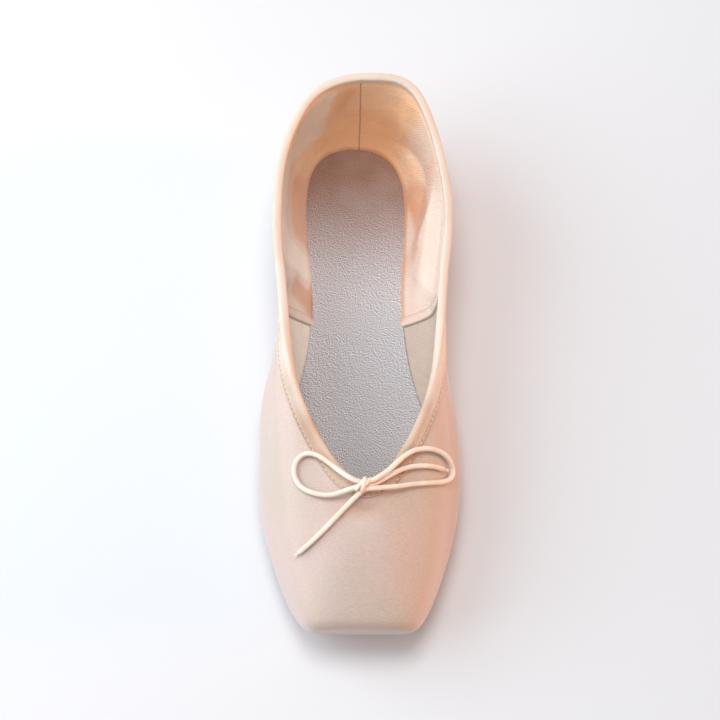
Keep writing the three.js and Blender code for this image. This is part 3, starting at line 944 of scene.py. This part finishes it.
KNOT = [-0.8, -0.7, 4.3]
KNOT_TURNS = [(-0.9, 46, 0.86), (0.9, 42, 0.9), (0.0, 12, 1.08)]  # shift along x, tilt in degrees, size
STRAND = 0.42  # diameter of a loose strand at the cord's end
STRANDS = [  # way sideways, rise, length
    (-0.5, 0.1, 1.9), (-0.2, 0.3, 2.4), (0.1, -0.1, 2.1), (0.35, 0.2, 2.6), (0.6, 0.0, 1.7),
]


def on_vamp(x, y, lift):
    """The point that far off the outer face, over x and y."""
    best_u, best_v = (5.0 if x >= 0 else RING - 5.0), V_RIM - 2.5
    reach_u, reach_v = 7.0, 2.5
    for _ in range(12):
        u, v = np.meshgrid(best_u + np.linspace(-reach_u, reach_u, 13),
                           np.clip(best_v + np.linspace(-reach_v, reach_v, 13), 0, V_RIM))
        p = last(u, v)
        k = np.argmin(np.hypot(p[..., 0] - x, p[..., 1] - y))
        best_u, best_v = u.ravel()[k], v.ravel()[k]
        reach_u, reach_v = reach_u / 2, reach_v / 2
    return last(best_u, best_v) + outward(np.array(best_u), np.array(best_v)) * lift


def bow_points(rows):
    return [on_vamp(x, THROAT_Y + y, lift) for x, y, lift in rows]


def spline(points):
    """A cubic B-spline through the points' neighbourhood, ends included, then evened out."""
    p = np.array(points)
    p = np.concatenate([[2 * p[0] - p[1]], p, [2 * p[-1] - p[-2]]])
    t = weights(np.arange(24) / 24)
    runs = [t @ p[i:i + 4] for i in range(len(p) - 3)]
    fine = np.concatenate(runs + [p[-2:-1]])
    run = np.concatenate([[0], np.cumsum(np.linalg.norm(np.diff(fine, axis=0), axis=1))])
    spots = np.linspace(0, run[-1], int(run[-1] / 0.9))
    return np.stack([np.interp(spots, run, fine[:, k]) for k in range(3)], -1)


def bow(material):
    """Each end of the drawstring makes a loop, runs straight on through the knot and ends as the tail beyond it."""
    heart = on_vamp(KNOT[0], THROAT_Y + KNOT[1], KNOT[2])
    for name, side, loop, middle, tail, nodes in (
        ("bow_cord_left", -1, LOOP_LEFT, [0, -0.2, 0.1], TAIL_RIGHT, ["bow_loop_left", "bow_tail_right"]),
        ("bow_cord_right", 1, LOOP_RIGHT, [0.8, -1.6, -0.2], TAIL_LEFT, ["bow_loop_right", "bow_tail_left"]),
    ):
        start = heart + [side * 0.8, 1.2, 0.4]
        path = spline([start, *bow_points(loop), heart + middle, *bow_points(tail)])
        piece = cord_piece(name, [path], [CORD], material, "cord", nodes)
        frays(path, material, name + "_frays")
    knot(heart, material)


def frays(path, material, name):
    """Loose strands where the cord is cut."""
    end, along = path[-1], path[-1] - path[-4]
    along /= np.linalg.norm(along)
    side = np.cross([0, 0, 1], along)
    strands = []
    for sideways, rise, long in STRANDS:
        reach = np.linspace(-1.0, long, 6)
        bend = side * (sideways * (0.5 + 0.4 * reach**2 / long))[:, None]
        strands.append(end + along * reach[:, None] + bend + np.array([0, 0, 1]) * rise)
    cord_piece(name, strands, [STRAND] * len(strands), material, "cord", sides=6)


def knot(heart, material):
    """Three turns of the cord round the crossing."""
    angle = np.linspace(0, 2 * math.pi, 28, endpoint=False)
    turns = []
    for shift, tilt, size in KNOT_TURNS:
        y, z = 2.1 * size * np.cos(angle), 1.8 * size * np.sin(angle)
        turns.append(heart + np.stack([shift + math.tan(math.radians(tilt)) * y, y, z], -1))
    cord_piece("bow_knot_turns", turns, [CORD] * len(turns), material, "cord", ["bow_knot"],
               closed=True, flat=1.0, pole=(1, 0, 0))


# ---- Stage ---------------------------------------------------------------------------------------
FLOOR_SIZE = 16  # metres
SHOE_CENTRE = Vector((0, 0, 0.02))
WORLD_STRENGTH = 0.44
WORLD_WHITE, WORLD_WARM = (0.98, 0.98, 1.0, 1), (0.88, 0.66, 0.52, 1)
WARM_SKY = [(0, 0.1, 0.95), (2, 0.75, 0.25)]  # axis, and the directions along it with none and all of the warm tint


def make_floor(material):
    bpy.ops.mesh.primitive_plane_add(size=FLOOR_SIZE, location=(0, 0, 0))
    floor = bpy.context.object
    floor.name = "floor"
    floor.data.materials.append(material)


def lamp(name, data, direction):
    piece = bpy.data.objects.new(name, data)
    piece.rotation_euler = direction.to_track_quat("-Z", "Y").to_euler()
    bpy.context.collection.objects.link(piece)
    return piece


def area_light(name, place, size, power, color):
    """A round lamp that faces the middle of the shoe, in metres and watts."""
    data = bpy.data.lights.new(name, "AREA")
    data.shape, data.size, data.energy, data.color = "DISK", size, power, color
    lamp(name, data, SHOE_CENTRE - Vector(place)).location = place


def even_light(name, direction, spread, strength, color):
    """The same from end to end of the shoe, and not seen in its gloss."""
    data = bpy.data.lights.new(name, "SUN")
    data.angle, data.energy, data.color = math.radians(spread), strength, color
    lamp(name, data, Vector(direction)).visible_glossy = False


def make_lights():
    area_light("key", (-0.95, 0.10, 0.52), size=1.4, power=13.2, color=(0.82, 0.92, 1.0))
    area_light("overhead", (-0.10, 0.16, 1.12), size=0.5, power=5.9, color=(1.0, 1.0, 1.0))
    # The light that the other shoe of the photo's pair throws on this one.
    even_light("warm_side", (-1.0, 0.0, -0.06), spread=20, strength=2.9, color=(1.0, 0.32, 0.04))
    bpy.context.scene.world = studio_world(WORLD_STRENGTH)


def studio_world(strength):
    """White all round, a little warm low on the right."""
    world = bpy.data.worlds.new("studio")
    world.use_nodes = True
    nodes, links = world.node_tree.nodes, world.node_tree.links
    toward = nodes.new("ShaderNodeSeparateXYZ")
    links.new(nodes.new("ShaderNodeTexCoord").outputs["Generated"], toward.inputs[0])
    both = nodes.new("ShaderNodeMath")
    both.operation = "MULTIPLY"
    for k, (axis, none, full) in enumerate(WARM_SKY):
        share = nodes.new("ShaderNodeMapRange")
        share.inputs[1].default_value, share.inputs[2].default_value = none, full
        links.new(toward.outputs[axis], share.inputs[0])
        links.new(share.outputs[0], both.inputs[k])
    tint = nodes.new("ShaderNodeMix")
    tint.data_type = "RGBA"
    links.new(both.outputs[0], tint.inputs[0])
    tint.inputs[MIX_A].default_value, tint.inputs[MIX_B].default_value = WORLD_WHITE, WORLD_WARM
    links.new(tint.outputs[MIX_OUT], nodes["Background"].inputs[0])
    nodes["Background"].inputs[1].default_value = strength
    return world


# ---- Assembly ------------------------------------------------------------------------------------
make_camera()
bow(cord_material())
make_lights()
make_floor(floor_material())
upper_skin(satin_material())
lining_skin(lining_material())
collar_binding(binding_material())
insole(suede_material())
outsole(leather_material())
stitches(thread_material())

bpy.context.scene.view_settings.view_transform = "Standard"
